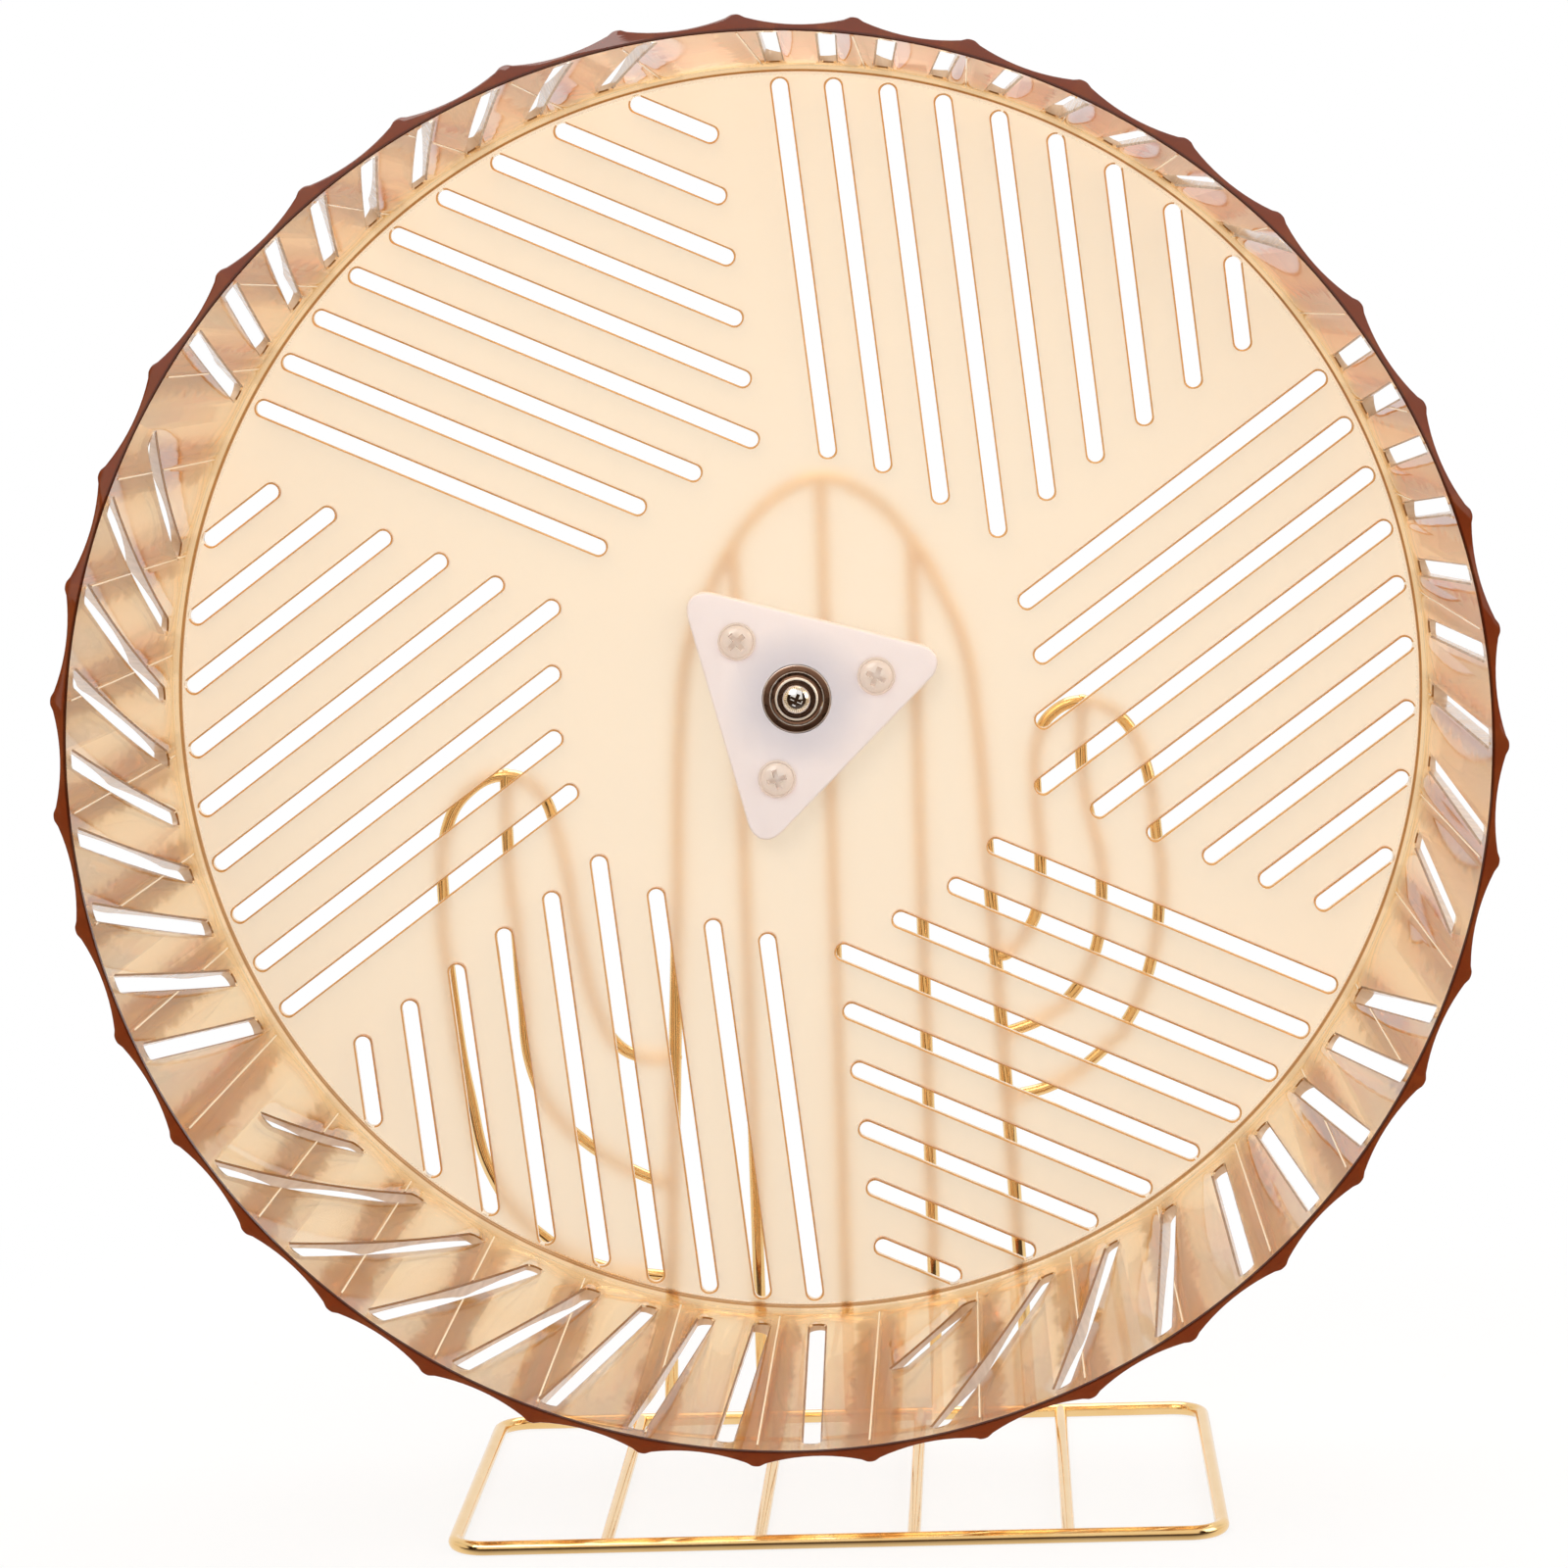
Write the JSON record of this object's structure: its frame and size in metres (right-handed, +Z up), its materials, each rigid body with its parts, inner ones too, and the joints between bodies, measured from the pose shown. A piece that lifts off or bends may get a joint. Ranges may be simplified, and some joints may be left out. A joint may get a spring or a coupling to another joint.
{
  "type": "hamster exercise wheel",
  "caption": "Slotted clear amber drum wheel, open at the front, turning on a ball bearing in front of a free-standing gold wire stand shaped like a cactus.",
  "frame": {"origin": "middle of the footprint of the whole object, on the floor", "axes": "+Z up, -Y towards the open side of the wheel, +X to the right for a viewer in front of the open side"},
  "size_m": [0.2478, 0.1284, 0.2697],
  "materials": {
    "amber_plastic": "clear amber moulded plastic, glossy, see-through",
    "milky_plastic": "milky white moulded plastic, satin",
    "clear_plastic": "colourless moulded plastic, glossy, see-through",
    "dark_steel": "ground bearing steel, dark and oiled",
    "bright_steel": "bright plain steel",
    "chrome_steel": "chrome plated, mirror-like",
    "gold_wire": "steel wire with a bright gold-coloured plating"
  },
  "bodies": {
    "stand": {"base_loop": "gold_wire", "base_cross_wire_1": "gold_wire", "base_cross_wire_2": "gold_wire", "base_cross_wire_3": "gold_wire", "base_cross_wire_4": "gold_wire", "trunk_arch": "gold_wire", "trunk_left_wire": "gold_wire", "trunk_centre_wire": "gold_wire", "trunk_right_wire": "gold_wire", "left_arm_loop": "gold_wire", "left_arm_middle_wire": "gold_wire", "right_arm_loop": "gold_wire", "right_arm_middle_wire": "gold_wire", "axle_sleeve": "gold_wire", "axle_bolt": "chrome_steel", "axle_washer": "chrome_steel", "axle_spacer": "bright_steel", "axle_nut": "bright_steel", "bearing_inner_ring": "bright_steel"},
    "wheel": {"wheel_drum": "amber_plastic", "hub_plate": "milky_plastic", "hub_screw_1": "clear_plastic", "hub_screw_2": "clear_plastic", "hub_screw_3": "clear_plastic", "bearing_outer_ring": "dark_steel", "bearing_front_shield": "dark_steel", "bearing_rear_shield": "dark_steel"},
    "ball_cage": {"bearing_cage": "bright_steel", "bearing_ball_1": "bright_steel", "bearing_ball_2": "bright_steel", "bearing_ball_3": "bright_steel", "bearing_ball_4": "bright_steel", "bearing_ball_5": "bright_steel", "bearing_ball_6": "bright_steel", "bearing_ball_7": "bright_steel"}
  },
  "joints": [
    {"name": "wheel_spin", "type": "hinge", "parent": "stand", "child": "wheel", "pos_m": [0, 0.03495, 0.14576], "axis": [0, 1, 0], "continuous": true},
    {"name": "cage_spin", "type": "hinge", "parent": "stand", "child": "ball_cage", "pos_m": [0, 0.03495, 0.14576], "axis": [0, 1, 0], "continuous": true}
  ],
  "couplings": [
    {"joint": "cage_spin", "follows": "wheel_spin", "ratio": 0.6176}
  ]
}
